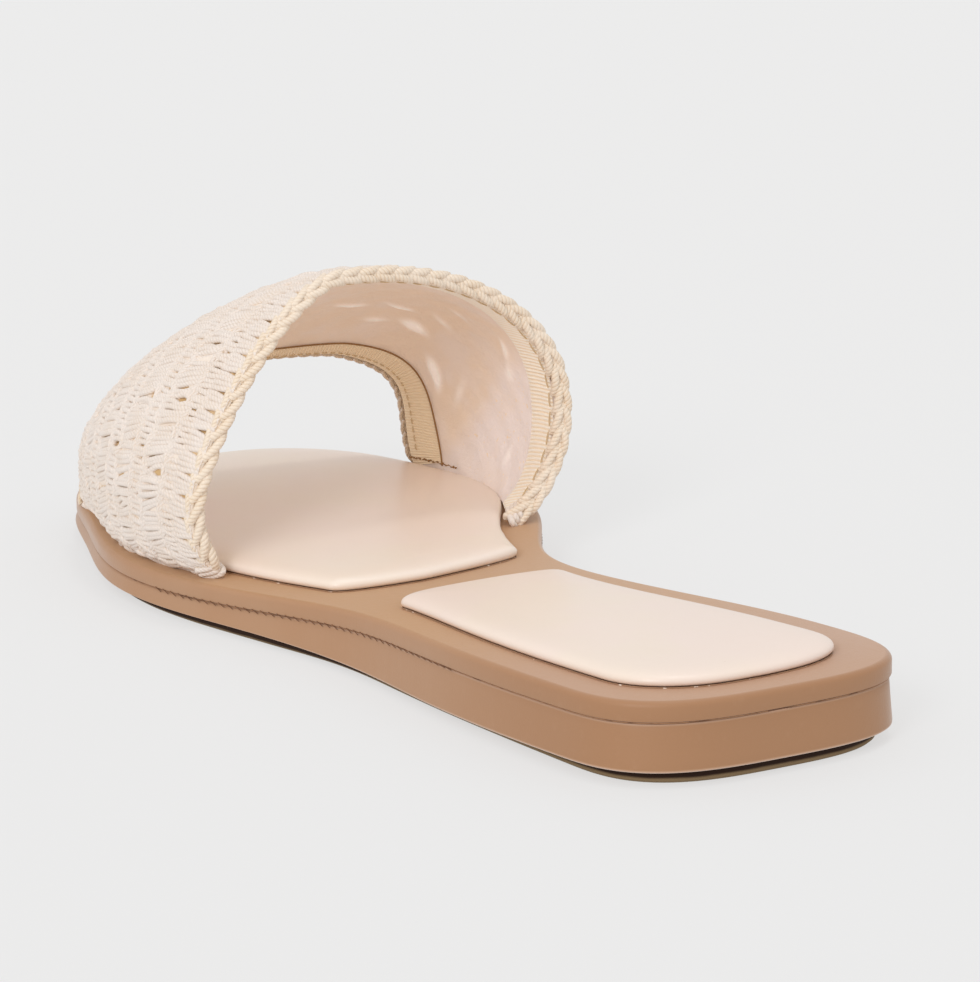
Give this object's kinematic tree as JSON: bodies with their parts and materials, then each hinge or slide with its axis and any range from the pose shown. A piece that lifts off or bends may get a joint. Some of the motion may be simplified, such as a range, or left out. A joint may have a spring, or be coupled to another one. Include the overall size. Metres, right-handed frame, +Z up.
{
  "type": "slide sandal",
  "caption": "Flat slide sandal for the left foot: tan moulded sole, cream padded insole in two parts, and a wide crochet strap over the forefoot.",
  "frame": {"origin": "middle of the sandal's footprint, on the floor", "axes": "+Y from heel to toe, +X to the wearer's right (the medial side of this left shoe), +Z up"},
  "size_m": [0.108, 0.2554, 0.0736],
  "materials": {
    "outsole_rubber": "matt dark rubber sheet",
    "sole_tan": "satin moulded polyurethane, tan",
    "pad_leather": "smooth soft cream leather look with a low gloss",
    "crochet_yarn": "matt ecru cotton yarn, crocheted",
    "binding_tape": "ribbed beige tape"
  },
  "bodies": {
    "root": {"outsole": "outsole_rubber", "midsole": "sole_tan", "footbed_frame": "sole_tan", "heel_pad": "pad_leather", "forefoot_pad": "pad_leather", "strap": "crochet_yarn", "rear_edge_braid": "crochet_yarn", "front_edge_braid": "crochet_yarn", "rear_binding": "binding_tape", "front_binding": "binding_tape"}
  },
  "joints": []
}
